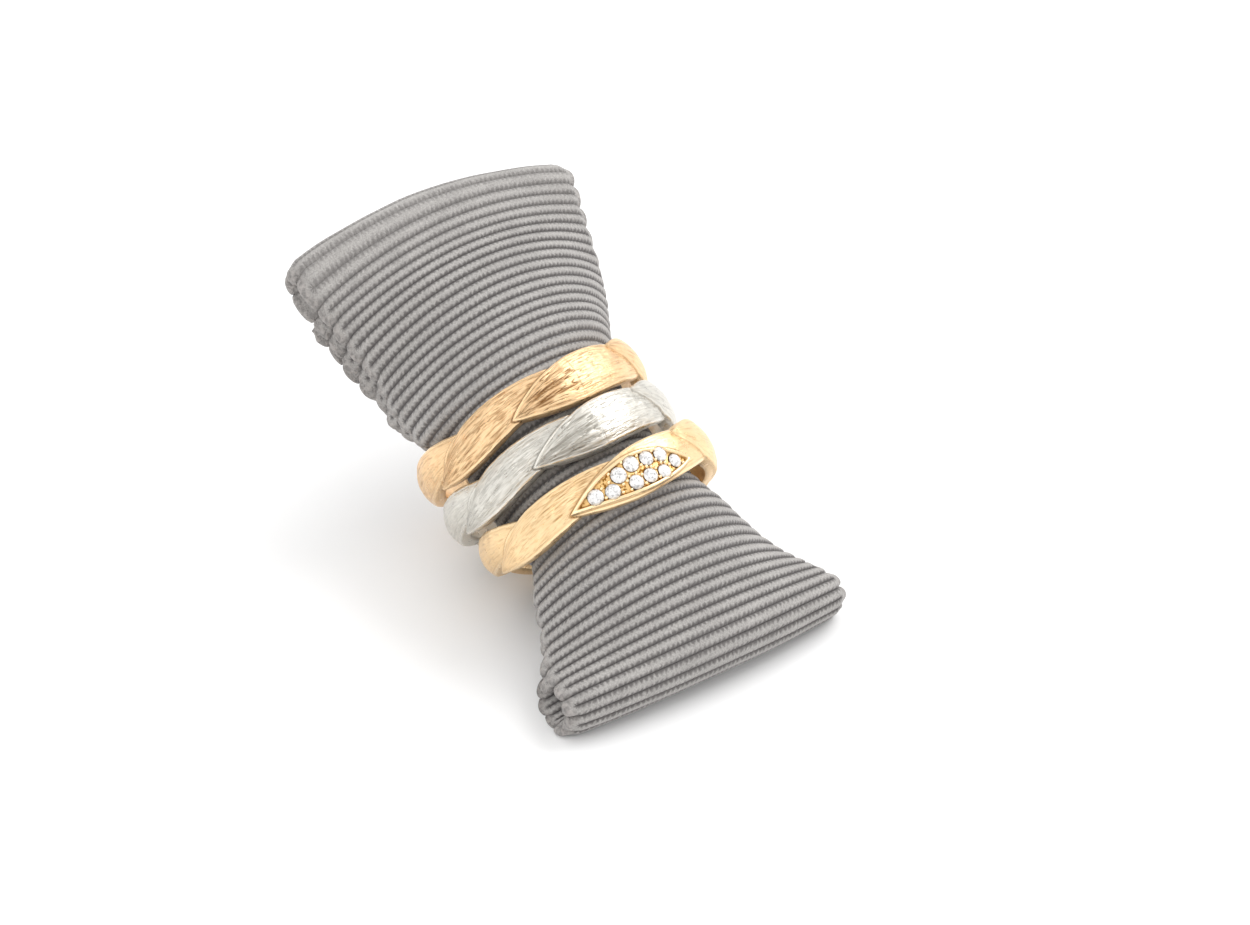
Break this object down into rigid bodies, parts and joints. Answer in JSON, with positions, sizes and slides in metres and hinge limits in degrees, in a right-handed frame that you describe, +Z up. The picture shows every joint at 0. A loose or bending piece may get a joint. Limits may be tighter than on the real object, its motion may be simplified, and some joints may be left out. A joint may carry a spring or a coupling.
{
  "type": "stack of leaf band rings on a ribbed display roll",
  "caption": "Nested band rings of overlapping bark-textured leaves in rose, white and yellow gold, the last set with round brilliants, held on a tilted roll of ribbed grey cloth.",
  "frame": {"origin": "middle of the base of the whole object's box, on the surface that it rests on", "axes": "+X along the roll towards its near end, which lies on the surface, +Y across the roll, +Z up"},
  "size_m": [0.0412, 0.0272, 0.0248],
  "materials": {
    "cloth": "matt grey ribbed cotton cloth",
    "rose_gold": "satin rose gold with bark-like grooves and bright edges",
    "white_gold": "satin white gold with bark-like grooves and bright edges",
    "yellow_gold": "satin yellow gold with bark-like grooves and a polished tray rim",
    "diamond": "clear polished brilliant cut"
  },
  "bodies": {
    "root": {"display_roll": "cloth", "rose_gold_ring": "rose_gold", "white_gold_ring": "white_gold", "yellow_gold_ring": "yellow_gold", "diamond_01": "diamond", "diamond_02": "diamond", "diamond_03": "diamond", "diamond_04": "diamond", "diamond_05": "diamond", "diamond_06": "diamond", "diamond_07": "diamond", "diamond_08": "diamond", "diamond_09": "diamond", "diamond_10": "diamond"}
  },
  "joints": []
}
